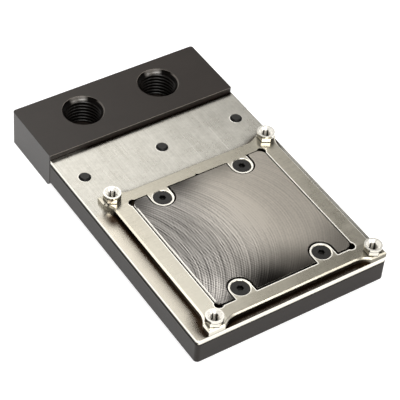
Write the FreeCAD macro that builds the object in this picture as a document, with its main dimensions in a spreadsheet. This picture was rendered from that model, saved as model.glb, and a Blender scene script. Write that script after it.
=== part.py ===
import FreeCAD, Part
import math
import os
import re
import Sketcher

# Liquid cooling block for a graphics processor.
# A black acetal body carries a plated copper cold plate, whose raised contact pad faces up.
# A terminal with two G1/4 ports closes the far end, and a mounting frame surrounds the pad.
# X runs across the block and Y along it, from the near end to the terminal.
# The origin is under the middle of the block, on the surface that the terminal stands on.

# Driving dimensions, in millimetres.
SIZES = {
    # acetal body
    "block_width": 70.0,
    "body_length": 87.5,
    "body_height": 7.5,
    "body_lift": 2.15,
    "body_corner_radius": 1.4,
    "body_edge_chamfer": 0.3,
    # terminal
    "terminal_depth": 25.0,
    "terminal_height": 13.5,
    "terminal_corner_radius": 1.0,
    "terminal_foot_chamfer": 1.4,
    "terminal_edge_chamfer": 0.3,
    "port_spacing": 29.0,
    "port_from_seam": 14.0,
    "port_bore": 13.2,
    "port_mouth": 14.2,
    "port_depth": 10.6,
    # cold plate and its contact pad
    "plate_thickness": 2.0,
    "plate_inset": 0.15,
    "plate_corner_radius": 1.2,
    "pad_gap": 0.6,
    "pad_proud": 0.3,
    "pad_corner_radius": 2.3,
    # place of the chip under the pad
    "chip_offset": 1.75,
    "chip_from_end": 32.2,
    # mounting frame
    "frame_thickness": 2.0,
    "frame_width": 65.5,
    "frame_length": 64.0,
    "frame_opening": 50.7,
    "relief_radius": 7.0,
    "front_relief_depth": 2.05,
    "front_relief_run": 44.0,
    "side_relief_depth": 1.75,
    "side_relief_run": 47.8,
    "frame_edge_chamfer": 0.5,
    "tongue_radius": 3.7,
    "corner_relief_bore": 3.0,
    "corner_relief_inset": 1.0,
    "frame_mark_width": 1.4,
    "frame_mark_depth": 0.6,
    # standoffs
    "standoff_spacing": 58.4,
    "standoff_across_flats": 5.0,
    "standoff_height": 2.7,
    "standoff_collar": 5.75,
    "standoff_collar_height": 0.8,
    "standoff_bore": 2.9,
    "standoff_countersink": 0.85,
    "spigot_bore": 4.2,
    # countersunk screws of the frame
    "frame_screw_spacing_x": 30.1,
    "frame_screw_spacing_y": 43.9,
    "frame_screw_thread": 3.0,
    "frame_screw_head": 6.0,
    "frame_screw_sink": 0.12,
    "frame_screw_set_back": 0.1,
    "frame_screw_socket": 2.0,
    "frame_screw_socket_depth": 1.2,
    # M4 screws between body and plate
    "body_screw_thread": 4.0,
    "body_screw_head": 7.0,
    "body_screw_head_height": 2.6,
    "body_screw_socket": 2.5,
    "body_screw_socket_depth": 1.5,
    "screw_tip_chamfer": 0.55,
    "long_screw_spacing": 29.0,
    "long_screw_from_seam": 11.9,
    "long_screw_stand_out": 0.6,
    "short_screw_spacing_x": 56.4,
    "short_screw_spacing_y": 39.0,
    "short_screw_set_back": 0.3,
    # M4 screws of the terminal
    "terminal_screw_spacing": 29.0,
    "terminal_screw_height": 5.9,
    "terminal_screw_thread": 4.0,
    "terminal_screw_grip": 8.0,
    "terminal_screw_head": 7.0,
    "terminal_screw_head_height": 4.0,
    "terminal_screw_socket": 3.0,
    "terminal_screw_socket_depth": 2.0,
    # waterways milled into the body
    "channel_depth": 3.6,
    "channel_width": 8.5,
    "channel_wall": 2.5,
    "chamber_width": 41.5,
    "chamber_length": 32.4,
    "trough_width": 6.0,
    "trough_end_width": 2.4,
    "corridor_length": 11.0,
    "slot_width": 12.0,
    "slot_height": 2.4,
    "slot_floor": 2.55,
    "slot_reach": 7.5,
    "cutter_radius": 1.5,
    # fins and jet plate
    "fin_pitch": 1.2,
    "fin_groove": 0.6,
    "fin_grooves": 19.0,
    "fin_depth": 2.6,
    "fin_length": 35.0,
    "jet_thickness": 0.8,
    "jet_width": 26.0,
    "jet_length": 25.0,
    "jet_slot_width": 1.5,
    "jet_slot_length": 21.0,
    # seals
    "seal_height": 1.1,
    "seal_width": 1.6,
    "seal_bend": 2.5,
    "seal_wall": 1.15,
    "groove_play": 0.15,
    "slot_seal_margin": 0.7,
    "slot_seal_width": 1.2,
    "slot_seal_height": 1.0,
    # clearances
    "thread_play": 0.05,
    "hole_play": 0.2,
    "head_play": 0.3,
    "jet_play": 0.15,
}

doc = FreeCAD.newDocument("gpu_water_block")
sheet = doc.addObject("Spreadsheet::Sheet", "Sizes")
for row, (alias, number) in enumerate(SIZES.items(), start=1):
    sheet.set(f"A{row}", alias.replace("_", " "))
    sheet.set(f"B{row}", str(number))
    sheet.setAlias(f"B{row}", alias)
doc.recompute()

# Places that several pieces share, as expressions of the sheet.
NEAR_Y = "(-(body_length + terminal_depth) / 2)"
SEAM_Y = "((body_length - terminal_depth) / 2)"
FAR_Y = "((body_length + terminal_depth) / 2)"
BODY_TOP = "(body_lift + body_height)"
PLATE_TOP = f"({BODY_TOP} + plate_thickness)"
FRAME_TOP = f"({PLATE_TOP} + frame_thickness)"
CHIP_X = "chip_offset"
CHIP_Y = f"({NEAR_Y} + chip_from_end)"
PORT_Y = f"({SEAM_Y} + port_from_seam)"
LONG_SCREW_Y = f"({SEAM_Y} - long_screw_from_seam)"
PAD_SIDE = "(frame_opening - 2 * pad_gap)"
PAD_RISE = "(frame_thickness + pad_proud)"
NOTCH_RADIUS = "(tongue_radius + pad_gap)"

CORNERS = {
    "front_left": (-1, -1),
    "front_right": (1, -1),
    "back_left": (-1, 1),
    "back_right": (1, 1),
}


def linked(text):
    """The expression with every size named as a cell of the sheet."""
    return re.sub(r"[a-z_]+", lambda word: f"Sizes.{word[0]}" if word[0] in SIZES else word[0], str(text))


def value(text):
    """The number that an expression of the sheet gives now."""
    return float(sheet.evalExpression(linked(text)))


def bind(item, field, text):
    item.setExpression(field, linked(text))


def at(corner, spacing_x, spacing_y=None):
    """Place of one corner of a rectangle of holes round the chip."""
    side, end = CORNERS[corner]
    x = f"({CHIP_X} + {side} * ({spacing_x}) / 2)"
    y = f"({CHIP_Y} + {end} * ({spacing_y or spacing_x}) / 2)"
    return x, y


# Sketch helpers: each entity is fixed by dimensions from the sketch's origin.

def new_sketch(body, name, plane="XY_Plane", height=None):
    sketch = body.newObject("Sketcher::SketchObject", name)
    support = next(item for item in body.Origin.OriginFeatures if item.Role == plane)
    sketch.AttachmentSupport = (support, [""])
    sketch.MapMode = "FlatFace"
    if height is not None:
        bind(sketch, "AttachmentOffset.Base.z", height)
    return sketch


def fix_point(sketch, entity, point, x, y):
    for kind, place in (("DistanceX", x), ("DistanceY", y)):
        index = sketch.addConstraint(Sketcher.Constraint(kind, -1, 1, entity, point, value(place)))
        bind(sketch, f"Constraints[{index}]", place)


def circle(sketch, x, y, diameter):
    centre = FreeCAD.Vector(value(x), value(y), 0)
    round_edge = Part.Circle(centre, FreeCAD.Vector(0, 0, 1), value(diameter) / 2)
    entity = sketch.addGeometry(round_edge, False)
    fix_point(sketch, entity, 3, x, y)
    index = sketch.addConstraint(Sketcher.Constraint("Diameter", entity, value(diameter)))
    bind(sketch, f"Constraints[{index}]", diameter)


def polygon(sketch, points):
    """Closed outline of straight lines through the points."""
    places = [FreeCAD.Vector(value(x), value(y), 0) for x, y in points]
    lines = []
    for start, end in zip(places, places[1:] + places[:1]):
        lines.append(sketch.addGeometry(Part.LineSegment(start, end), False))
    for line, following in zip(lines, lines[1:] + lines[:1]):
        sketch.addConstraint(Sketcher.Constraint("Coincident", line, 2, following, 1))
    for line, (x, y) in zip(lines, points):
        fix_point(sketch, line, 1, x, y)


def rectangle(sketch, left, near, right, far):
    polygon(sketch, [(left, near), (right, near), (right, far), (left, far)])


def hexagon(sketch, x, y, across_flats):
    """Regular hexagon with two corners on the line through its centre along Y."""
    corner = f"({across_flats}) / sqrt(3)"
    turns = [30 + 60 * step for step in range(6)]
    polygon(sketch, [(f"{x} + {corner} * cos({turn})", f"{y} + {corner} * sin({turn})") for turn in turns])


def half_round(sketch, x, y, radius, base, way):
    """Outline of a tongue: a half circle round (x, y), bulging along way, on straight sides to base."""
    centre = FreeCAD.Vector(value(x), value(y), 0)
    reach = value(radius)
    first, last = (0, math.pi) if way > 0 else (math.pi, 2 * math.pi)
    arc = sketch.addGeometry(Part.ArcOfCircle(Part.Circle(centre, FreeCAD.Vector(0, 0, 1), reach), first, last), False)
    start = centre + FreeCAD.Vector(way * reach, 0, 0)
    end = centre - FreeCAD.Vector(way * reach, 0, 0)
    start_foot = FreeCAD.Vector(start.x, value(base), 0)
    end_foot = FreeCAD.Vector(end.x, value(base), 0)
    down = sketch.addGeometry(Part.LineSegment(end, end_foot), False)
    foot = sketch.addGeometry(Part.LineSegment(end_foot, start_foot), False)
    back = sketch.addGeometry(Part.LineSegment(start_foot, start), False)
    for constraint in (
        Sketcher.Constraint("Tangent", arc, 2, down, 1),
        Sketcher.Constraint("Coincident", down, 2, foot, 1),
        Sketcher.Constraint("Coincident", foot, 2, back, 1),
        Sketcher.Constraint("Tangent", back, 2, arc, 1),
        Sketcher.Constraint("Vertical", down),
        Sketcher.Constraint("Vertical", back),
        Sketcher.Constraint("Horizontal", foot),
    ):
        sketch.addConstraint(constraint)
    fix_point(sketch, arc, 3, x, y)
    index = sketch.addConstraint(Sketcher.Constraint("Radius", arc, reach))
    bind(sketch, f"Constraints[{index}]", radius)
    index = sketch.addConstraint(Sketcher.Constraint("DistanceY", -1, 1, foot, 1, value(base)))
    bind(sketch, f"Constraints[{index}]", base)


# Feature helpers.

def new_body(label, x="0", y="0", z="0"):
    """Body whose own origin stands at (x, y, z) of the block."""
    body = doc.addObject("PartDesign::Body", label)
    body.Label = label
    for axis, place in zip("xyz", (x, y, z)):
        bind(body, f"Placement.Base.{axis}", place)
    return body


def pad(body, sketch, length):
    feature = body.newObject("PartDesign::Pad", sketch.Name + "_pad")
    feature.Profile = sketch
    bind(feature, "Length", length)
    doc.recompute()
    return feature


def pocket(body, sketch, length, upward=False):
    """Cut against the sketch's normal, or along it where upward is true."""
    before = body.Shape.Volume
    feature = body.newObject("PartDesign::Pocket", sketch.Name + "_pocket")
    feature.Profile = sketch
    bind(feature, "Length", length)
    feature.Reversed = upward
    doc.recompute()
    if body.Shape.Volume >= before:
        raise RuntimeError(f"{feature.Name} removes no material")
    return feature


def turned(body, sketch):
    """Solid made by turning the sketch round its own vertical axis."""
    feature = body.newObject("PartDesign::Revolution", sketch.Name + "_turned")
    feature.Profile = sketch
    feature.ReferenceAxis = (sketch, ["V_Axis"])
    feature.Angle = 360
    doc.recompute()
    return feature


def edge_names(feature, test):
    return [f"Edge{number}" for number, edge in enumerate(feature.Shape.Edges, start=1) if test(edge)]


def round_edges(body, feature, radius, test):
    fillet = body.newObject("PartDesign::Fillet", feature.Name + "_round")
    fillet.Base = (feature, edge_names(feature, test))
    bind(fillet, "Radius", radius)
    doc.recompute()
    return fillet


def chamfer_edges(body, feature, size, test):
    chamfer = body.newObject("PartDesign::Chamfer", feature.Name + "_chamfer")
    chamfer.Base = (feature, edge_names(feature, test))
    bind(chamfer, "Size", size)
    doc.recompute()
    return chamfer


def near(first, second):
    return abs(first - second) < 1e-4


def upright_edge(edge, y=None, x=None):
    """True for a vertical edge, at y and x where they are given."""
    box = edge.BoundBox
    straight = near(box.XLength, 0) and near(box.YLength, 0)
    return straight and (y is None or near(box.YMin, value(y))) and (x is None or near(box.XMin, value(x)))


def level_edge(edge, height):
    """True for an edge that lies at the height."""
    box = edge.BoundBox
    return near(box.ZLength, 0) and near(box.ZMin, value(height))


def rim_edge(edge, height, diameter):
    """True for a full circle of the diameter at the height."""
    box = edge.BoundBox
    round_edge = near(box.XLength, value(diameter)) and near(box.YLength, value(diameter))
    return level_edge(edge, height) and round_edge


# Waterway helpers: outlines with rounded corners, as an end mill leaves them.

def rounded_wire(points, radius, height):
    """Closed wire at a height through the points, with an arc tangent at every corner."""
    places = [FreeCAD.Vector(value(x), value(y), value(height)) for x, y in points]
    ends = []
    for before, corner, after in zip(places[-1:] + places[:-1], places, places[1:] + places[:1]):
        to_before = (before - corner).normalize()
        to_after = (after - corner).normalize()
        half_angle = to_before.getAngle(to_after) / 2
        setback = value(radius) / math.tan(half_angle)
        bisector = (to_before + to_after).normalize()
        middle = corner + bisector * (value(radius) / math.sin(half_angle) - value(radius))
        ends.append((corner + to_before * setback, middle, corner + to_after * setback))
    edges = []
    for (start, middle, end), (following, _, _) in zip(ends, ends[1:] + ends[:1]):
        edges.append(Part.Arc(start, middle, end).toShape())
        edges.append(Part.LineSegment(end, following).toShape())
    return Part.Wire(Part.__sortEdges__(edges))


def milled(points, radius, top, depth):
    """Cutter's path volume: the rounded outline from top down to depth."""
    face = Part.Face(rounded_wire(points, radius, top))
    return face.extrude(FreeCAD.Vector(0, 0, -value(depth)))


def band(points, radius, width, top, depth):
    """Solid of a given width along a rounded closed route."""
    route = rounded_wire(points, radius, top)
    outer = Part.Face(route.makeOffset2D(value(width) / 2))
    inner = Part.Face(route.makeOffset2D(-value(width) / 2))
    return outer.cut(inner).extrude(FreeCAD.Vector(0, 0, -value(depth)))


def solid_feature(label, shape):
    feature = doc.addObject("Part::Feature", label)
    feature.Label = label
    feature.Shape = shape
    feature.Placement = FreeCAD.Placement()
    return feature


def copies(label, template, places):
    """Group of separate solids: the template's shape at each place."""
    shapes = []
    for x, y, z in places:
        shape = template.Shape.copy()
        shape.translate(FreeCAD.Vector(value(x), value(y), value(z)))
        shapes.append(shape)
    return solid_feature(label, Part.makeCompound(shapes))


# Places of the screws.
FRAME_SCREWS = [at(corner, "frame_screw_spacing_x", "frame_screw_spacing_y") for corner in CORNERS]
SHORT_SCREWS = [at(corner, "short_screw_spacing_x", "short_screw_spacing_y") for corner in CORNERS]
LONG_SCREWS = [(f"{step} * long_screw_spacing", LONG_SCREW_Y) for step in (-1, 0, 1)]
TERMINAL_SCREWS = [f"{step} * terminal_screw_spacing" for step in (-1, 0, 1)]
PORTS = [f"{side} * port_spacing / 2" for side in (-1, 1)]

# Outlines of the waterways, round the chip's centre.
CHAMBER_LEFT = f"({CHIP_X} - chamber_width / 2)"
CHAMBER_RIGHT = f"({CHIP_X} + chamber_width / 2)"
CHAMBER_NEAR = f"({CHIP_Y} - chamber_length / 2)"
CHAMBER_FAR = f"({CHIP_Y} + chamber_length / 2)"
CORRIDOR_END = f"({CHAMBER_FAR} + corridor_length)"
CHANNEL_END = f"({SEAM_Y} - slot_reach + channel_width / 2)"
FAN_END = f"({LONG_SCREW_Y} - body_screw_head / 2)"
PLENUM_HALF = "(jet_width / 2 - 2 * trough_end_width)"
JET_LAND = "(jet_length / 2 - channel_wall / 2)"


def channel_outline(side):
    """Points of one channel from the corridor's mouth to its end at the terminal, outer edge first."""
    inner = f"({CHIP_X} + {side} * channel_wall / 2)"
    outer = f"({CHIP_X} + {side} * (channel_wall / 2 + channel_width))"
    port = f"({side} * port_spacing / 2)"
    out = [(outer, CORRIDOR_END), (f"({port} + {side} * channel_width / 2)", FAN_END),
           (f"({port} + {side} * channel_width / 2)", CHANNEL_END)]
    back = [(f"({port} - {side} * channel_width / 2)", CHANNEL_END),
            (f"({port} - {side} * channel_width / 2)", FAN_END), (inner, CORRIDOR_END)]
    return inner, outer, out + back


def inlet_outline():
    """Left channel and the plenum under the jet plate's slot."""
    inner, outer, points = channel_outline(-1)
    plenum_left = f"({CHIP_X} - {PLENUM_HALF})"
    plenum_right = f"({CHIP_X} + {PLENUM_HALF})"
    plenum_near = f"({CHIP_Y} - {JET_LAND})"
    plenum_far = f"({CHIP_Y} + {JET_LAND})"
    return points + [(inner, plenum_far), (plenum_right, plenum_far), (plenum_right, plenum_near),
                     (plenum_left, plenum_near), (outer, f"({plenum_far} - channel_width)")]


def outlet_outline():
    """Trough round the fins' ends and the right channel."""
    inner, outer, points = channel_outline(1)
    inside_left = f"({CHAMBER_LEFT} + trough_width)"
    inside_right = f"({CHAMBER_RIGHT} - trough_width)"
    inside_near = f"({CHAMBER_NEAR} + trough_end_width)"
    inside_far = f"({CHIP_Y} + jet_length / 2 + channel_wall / 4)"
    return points + [(inner, inside_far), (inside_right, inside_far), (inside_right, inside_near),
                     (inside_left, inside_near), (inside_left, CHAMBER_FAR), (CHAMBER_LEFT, CHAMBER_FAR),
                     (CHAMBER_LEFT, CHAMBER_NEAR), (CHAMBER_RIGHT, CHAMBER_NEAR),
                     (CHAMBER_RIGHT, CHAMBER_FAR), (outer, CHAMBER_FAR)]


def seal_route():
    """Middle line of the main seal: round the chamber, the corridor and both channels."""
    step = "(seal_wall + seal_width / 2 + groove_play)"
    left = f"({CHAMBER_LEFT} - {step})"
    right = f"({CHAMBER_RIGHT} + {step})"
    near_y = f"({CHAMBER_NEAR} - {step})"
    far_y = f"({CHAMBER_FAR} + {step})"
    corridor = f"(channel_wall / 2 + channel_width + {step})"
    arm = f"(channel_width / 2 + {step})"
    end = f"({CHANNEL_END} + {step})"
    crotch = f"({FAN_END} - (port_spacing / 2 - {arm}))"
    points = [(left, near_y), (right, near_y), (right, far_y), (f"({CHIP_X} + {corridor})", far_y),
              (f"({CHIP_X} + {corridor})", CORRIDOR_END), (f"(port_spacing / 2 + {arm})", FAN_END),
              (f"(port_spacing / 2 + {arm})", end), (f"(port_spacing / 2 - {arm})", end),
              (f"(port_spacing / 2 - {arm})", FAN_END), ("0", crotch),
              (f"({arm} - port_spacing / 2)", FAN_END), (f"({arm} - port_spacing / 2)", end),
              (f"(-port_spacing / 2 - {arm})", end), (f"(-port_spacing / 2 - {arm})", FAN_END),
              (f"({CHIP_X} - {corridor})", CORRIDOR_END), (f"({CHIP_X} - {corridor})", far_y),
              (left, far_y)]
    return points


def slot_centre(side):
    return f"({side} * port_spacing / 2)", f"({BODY_TOP} - body_height + slot_floor + slot_height / 2)"


# Acetal body.

def acetal_body():
    blank = new_body("acetal_blank", z="body_lift")
    outline = new_sketch(blank, "body_outline")
    rectangle(outline, "-block_width / 2", NEAR_Y, "block_width / 2", SEAM_Y)
    slab = pad(blank, outline, "body_height")
    slab = round_edges(blank, slab, "body_corner_radius", lambda edge: upright_edge(edge, NEAR_Y))
    slab = chamfer_edges(blank, slab, "body_edge_chamfer", lambda edge: upright_edge(edge, SEAM_Y))

    shanks = new_sketch(blank, "body_screw_holes", height="body_height")
    heads = new_sketch(blank, "body_screw_counterbores")
    for x, y in SHORT_SCREWS + LONG_SCREWS:
        circle(shanks, x, y, "body_screw_thread + hole_play")
        circle(heads, x, y, "body_screw_head + head_play")
    pocket(blank, shanks, "body_height")
    pocket(blank, heads, "body_screw_head_height", upward=True)

    end_holes = new_sketch(blank, "terminal_screw_bores", "XZ_Plane", height=f"-{SEAM_Y}")
    for x in TERMINAL_SCREWS:
        circle(end_holes, x, "terminal_screw_height - body_lift", "terminal_screw_thread + thread_play * 2")
    pocket(blank, end_holes, "terminal_screw_grip + head_play", upward=True)

    slots = []
    for side in (-1, 1):
        x, z = slot_centre(side)
        slots.append(oval_prism(x, z, "slot_width", "slot_height", f"({SEAM_Y} - slot_reach)", "slot_reach"))
    cutters = [
        milled(inlet_outline(), "cutter_radius", BODY_TOP, "channel_depth"),
        milled(outlet_outline(), "cutter_radius", BODY_TOP, "channel_depth"),
        jet_outline("jet_play", BODY_TOP, "jet_thickness"),
        band(seal_route(), "seal_bend", "seal_width + 2 * groove_play", BODY_TOP, "seal_height"),
    ]
    waterways = solid_feature("waterways", cutters[0].multiFuse(cutters[1:] + slots))
    body = doc.addObject("Part::Cut", "acetal_body")
    body.Label = "acetal_body"
    body.Base = blank
    body.Tool = waterways
    doc.recompute()
    return body


def oval_prism(x, z, width, height, start, length):
    """Prism along Y with a section of two half circles joined by straights."""
    radius = value(height) / 2
    half_run = value(width) / 2 - radius
    left = value(x) - half_run
    right = value(x) + half_run
    low = value(z) - radius
    high = value(z) + radius
    y = value(start)
    corners = [FreeCAD.Vector(left, y, low), FreeCAD.Vector(right, y, low), FreeCAD.Vector(right, y, high),
               FreeCAD.Vector(left, y, high)]
    edges = [
        Part.LineSegment(corners[0], corners[1]).toShape(),
        Part.Arc(corners[1], FreeCAD.Vector(right + radius, y, value(z)), corners[2]).toShape(),
        Part.LineSegment(corners[2], corners[3]).toShape(),
        Part.Arc(corners[3], FreeCAD.Vector(left - radius, y, value(z)), corners[0]).toShape(),
    ]
    return Part.Face(Part.Wire(edges)).extrude(FreeCAD.Vector(0, value(length), 0))


def oval_band(x, z, width, height, band_width, start, length):
    """Ring of the band's width round an oval prism."""
    outer = oval_prism(x, z, f"{width} + 2 * ({band_width})", f"{height} + 2 * ({band_width})", start, length)
    return outer.cut(oval_prism(x, z, width, height, start, length))


# Terminal block.

def terminal_block():
    blank = new_body("terminal_blank")
    outline = new_sketch(blank, "terminal_outline")
    rectangle(outline, "-block_width / 2", SEAM_Y, "block_width / 2", FAR_Y)
    block = pad(blank, outline, "terminal_height")
    block = round_edges(blank, block, "terminal_corner_radius", lambda edge: upright_edge(edge, FAR_Y))
    block = chamfer_edges(blank, block, "terminal_foot_chamfer", lambda edge: foot_edge(edge, SEAM_Y))
    block = chamfer_edges(blank, block, "terminal_edge_chamfer", lambda edge: upright_edge(edge, SEAM_Y))

    ports = new_sketch(blank, "port_bores", height="terminal_height")
    for x in PORTS:
        circle(ports, x, PORT_Y, "port_bore")
    bores = pocket(blank, ports, "port_depth")
    chamfer_edges(blank, bores, "(port_mouth - port_bore) / 2",
                  lambda edge: rim_edge(edge, "terminal_height", "port_bore"))

    shanks = new_sketch(blank, "terminal_screw_holes", "XZ_Plane", height=f"-{FAR_Y}")
    heads = new_sketch(blank, "terminal_screw_counterbores", "XZ_Plane", height=f"-{FAR_Y}")
    for x in TERMINAL_SCREWS:
        circle(shanks, x, "terminal_screw_height", "terminal_screw_thread + hole_play")
        circle(heads, x, "terminal_screw_height", "terminal_screw_head + head_play")
    pocket(blank, shanks, "terminal_depth", upward=True)
    pocket(blank, heads, "terminal_screw_head_height", upward=True)

    cutters = []
    for side in (-1, 1):
        x, z = slot_centre(side)
        cutters.append(oval_prism(x, z, "slot_width", "slot_height", SEAM_Y, "port_from_seam"))
        cutters.append(slot_seal_band(side, "slot_seal_width + groove_play * 2", "slot_seal_margin - groove_play"))
    passages = solid_feature("terminal_passages", cutters[0].multiFuse(cutters[1:]))
    terminal = doc.addObject("Part::Cut", "terminal_block")
    terminal.Label = "terminal_block"
    terminal.Base = blank
    terminal.Tool = passages
    doc.recompute()
    return terminal


def foot_edge(edge, y):
    """True for the straight bottom edge along X at y."""
    box = edge.BoundBox
    return near(box.ZMax, 0) and near(box.YLength, 0) and near(box.YMin, value(y)) and box.XLength > 1


def slot_seal_band(side, width, margin):
    x, z = slot_centre(side)
    return oval_band(x, z, f"(slot_width + 2 * ({margin}))", f"(slot_height + 2 * ({margin}))", width,
                     SEAM_Y, "slot_seal_height")


# Cold plate with its contact pad and fins.

def cold_plate():
    body = new_body("cold_plate", z=BODY_TOP)
    outline = new_sketch(body, "plate_outline")
    rectangle(outline, "plate_inset - block_width / 2", f"{NEAR_Y} + plate_inset",
              "block_width / 2 - plate_inset", f"{SEAM_Y} - plate_inset")
    plate = pad(body, outline, "plate_thickness")
    round_edges(body, plate, "plate_corner_radius", lambda edge: upright_edge(edge, f"{NEAR_Y} + plate_inset"))

    square = new_sketch(body, "pad_outline", height="plate_thickness")
    rectangle(square, f"{CHIP_X} - {PAD_SIDE} / 2", f"{CHIP_Y} - {PAD_SIDE} / 2",
              f"{CHIP_X} + {PAD_SIDE} / 2", f"{CHIP_Y} + {PAD_SIDE} / 2")
    raised = pad(body, square, PAD_RISE)
    round_edges(body, raised, "pad_corner_radius", pad_corner)

    notches = new_sketch(body, "tongue_notches", height=f"plate_thickness + {PAD_RISE}")
    for (x, y), (_, end) in zip(FRAME_SCREWS, CORNERS.values()):
        half_round(notches, x, y, NOTCH_RADIUS, f"{CHIP_Y} + {end} * (frame_opening / 2)", -end)
    pocket(body, notches, PAD_RISE)

    holes = new_sketch(body, "plate_threads", height="plate_thickness")
    for x, y in FRAME_SCREWS:
        circle(holes, x, y, "frame_screw_thread + thread_play * 2")
    for x, y in SHORT_SCREWS + LONG_SCREWS:
        circle(holes, x, y, "body_screw_thread + thread_play * 2")
    pocket(body, holes, "plate_thickness")

    groove = new_sketch(body, "fin_groove")
    first = f"({CHIP_Y} - (fin_grooves - 1) / 2 * fin_pitch)"
    rectangle(groove, f"{CHIP_X} - fin_length / 2", f"{first} - fin_groove / 2",
              f"{CHIP_X} + fin_length / 2", f"{first} + fin_groove / 2")
    cut = pocket(body, groove, "fin_depth", upward=True)
    fins = body.newObject("PartDesign::LinearPattern", "fins")
    fins.Originals = [cut]
    fins.Direction = (groove, ["V_Axis"])
    bind(fins, "Length", "(fin_grooves - 1) * fin_pitch")
    bind(fins, "Occurrences", "fin_grooves")
    body.Tip = fins
    doc.recompute()
    return body


def pad_corner(edge):
    """True for the raised pad's four upright corners."""
    half = value(PAD_SIDE) / 2
    box = edge.BoundBox
    beside = near(abs(box.XMin - value(CHIP_X)), half) and near(abs(box.YMin - value(CHIP_Y)), half)
    return upright_edge(edge) and beside


# Mounting frame.

def mounting_frame():
    body = new_body("mounting_frame", z=PLATE_TOP)
    outline = new_sketch(body, "frame_outline")
    rectangle(outline, f"{CHIP_X} - frame_width / 2", f"{CHIP_Y} - frame_length / 2",
              f"{CHIP_X} + frame_width / 2", f"{CHIP_Y} + frame_length / 2")
    pad(body, outline, "frame_thickness")

    reliefs = new_sketch(body, "side_reliefs", height="frame_thickness")
    for side in (-1, 1):
        middle = "(frame_length / 2 - front_relief_depth + relief_radius)"
        stadium(reliefs, [(f"{CHIP_X} - front_relief_run / 2", f"{CHIP_Y} + {side} * {middle}"),
                          (f"{CHIP_X} + front_relief_run / 2", f"{CHIP_Y} + {side} * {middle}")], "relief_radius")
    pocket(body, reliefs, "frame_thickness")
    waists = new_sketch(body, "side_waists", height="frame_thickness")
    for side in (-1, 1):
        middle = "(frame_width / 2 - side_relief_depth + relief_radius)"
        stadium(waists, [(f"{CHIP_X} + {side} * {middle}", f"{CHIP_Y} - side_relief_run / 2"),
                         (f"{CHIP_X} + {side} * {middle}", f"{CHIP_Y} + side_relief_run / 2")], "relief_radius")
    waisted = pocket(body, waists, "frame_thickness")
    chamfer_edges(body, waisted, "frame_edge_chamfer", lambda edge: level_edge(edge, "frame_thickness"))

    window = new_sketch(body, "pad_window", height="frame_thickness")
    rectangle(window, f"{CHIP_X} - frame_opening / 2", f"{CHIP_Y} - frame_opening / 2",
              f"{CHIP_X} + frame_opening / 2", f"{CHIP_Y} + frame_opening / 2")
    pocket(body, window, "frame_thickness")
    corners = new_sketch(body, "corner_reliefs", height="frame_thickness")
    for corner in CORNERS:
        x, y = at(corner, "frame_opening - 2 * corner_relief_inset")
        circle(corners, x, y, "corner_relief_bore")
    pocket(body, corners, "frame_thickness")

    mark = new_sketch(body, "frame_mark", height="frame_thickness")
    edge_y = f"({CHIP_Y} + frame_opening / 2)"
    polygon(mark, [(f"{CHIP_X} - frame_mark_width / 2", edge_y), (f"{CHIP_X} + frame_mark_width / 2", edge_y),
                   (CHIP_X, f"{edge_y} + frame_mark_depth")])
    pocket(body, mark, "frame_thickness")

    tongues = new_sketch(body, "tongues")
    for (x, y), (_, end) in zip(FRAME_SCREWS, CORNERS.values()):
        half_round(tongues, x, y, "tongue_radius", f"{CHIP_Y} + {end} * (frame_opening / 2 + pad_gap)", -end)
    pad(body, tongues, "frame_thickness")

    holes = new_sketch(body, "frame_screw_holes", height="frame_thickness")
    for x, y in FRAME_SCREWS:
        circle(holes, x, y, "frame_screw_thread + hole_play")
    drilled = pocket(body, holes, "frame_thickness")
    chamfer_edges(body, drilled, "(frame_screw_head - frame_screw_thread) / 2 + frame_screw_sink",
                  lambda edge: rim_edge(edge, "frame_thickness", "frame_screw_thread + hole_play"))

    seats = new_sketch(body, "standoff_seats", height="frame_thickness")
    for corner in CORNERS:
        x, y = at(corner, "standoff_spacing")
        circle(seats, x, y, "spigot_bore + thread_play * 2")
    pocket(body, seats, "frame_thickness")
    return body


def stadium(sketch, ends, radius):
    """Outline of two half circles of the radius round the ends, joined by tangent lines."""
    first, last = [FreeCAD.Vector(value(x), value(y), 0) for x, y in ends]
    along = (last - first).normalize()
    across = FreeCAD.Vector(-along.y, along.x, 0) * value(radius)
    turn = math.atan2(across.y, across.x)
    up = FreeCAD.Vector(0, 0, 1)
    start_arc = sketch.addGeometry(
        Part.ArcOfCircle(Part.Circle(first, up, value(radius)), turn, turn + math.pi), False)
    end_arc = sketch.addGeometry(
        Part.ArcOfCircle(Part.Circle(last, up, value(radius)), turn - math.pi, turn), False)
    low = sketch.addGeometry(Part.LineSegment(first - across, last - across), False)
    high = sketch.addGeometry(Part.LineSegment(last + across, first + across), False)
    for joint in ((start_arc, 2, low, 1), (low, 2, end_arc, 1), (end_arc, 2, high, 1), (high, 2, start_arc, 1)):
        sketch.addConstraint(Sketcher.Constraint("Tangent", *joint))
    fix_point(sketch, start_arc, 3, *ends[0])
    fix_point(sketch, end_arc, 3, *ends[1])
    index = sketch.addConstraint(Sketcher.Constraint("Radius", start_arc, value(radius)))
    bind(sketch, f"Constraints[{index}]", radius)


# Standoff: a hexagon with a round collar on top, a spigot in the frame and a threaded hole.

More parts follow.
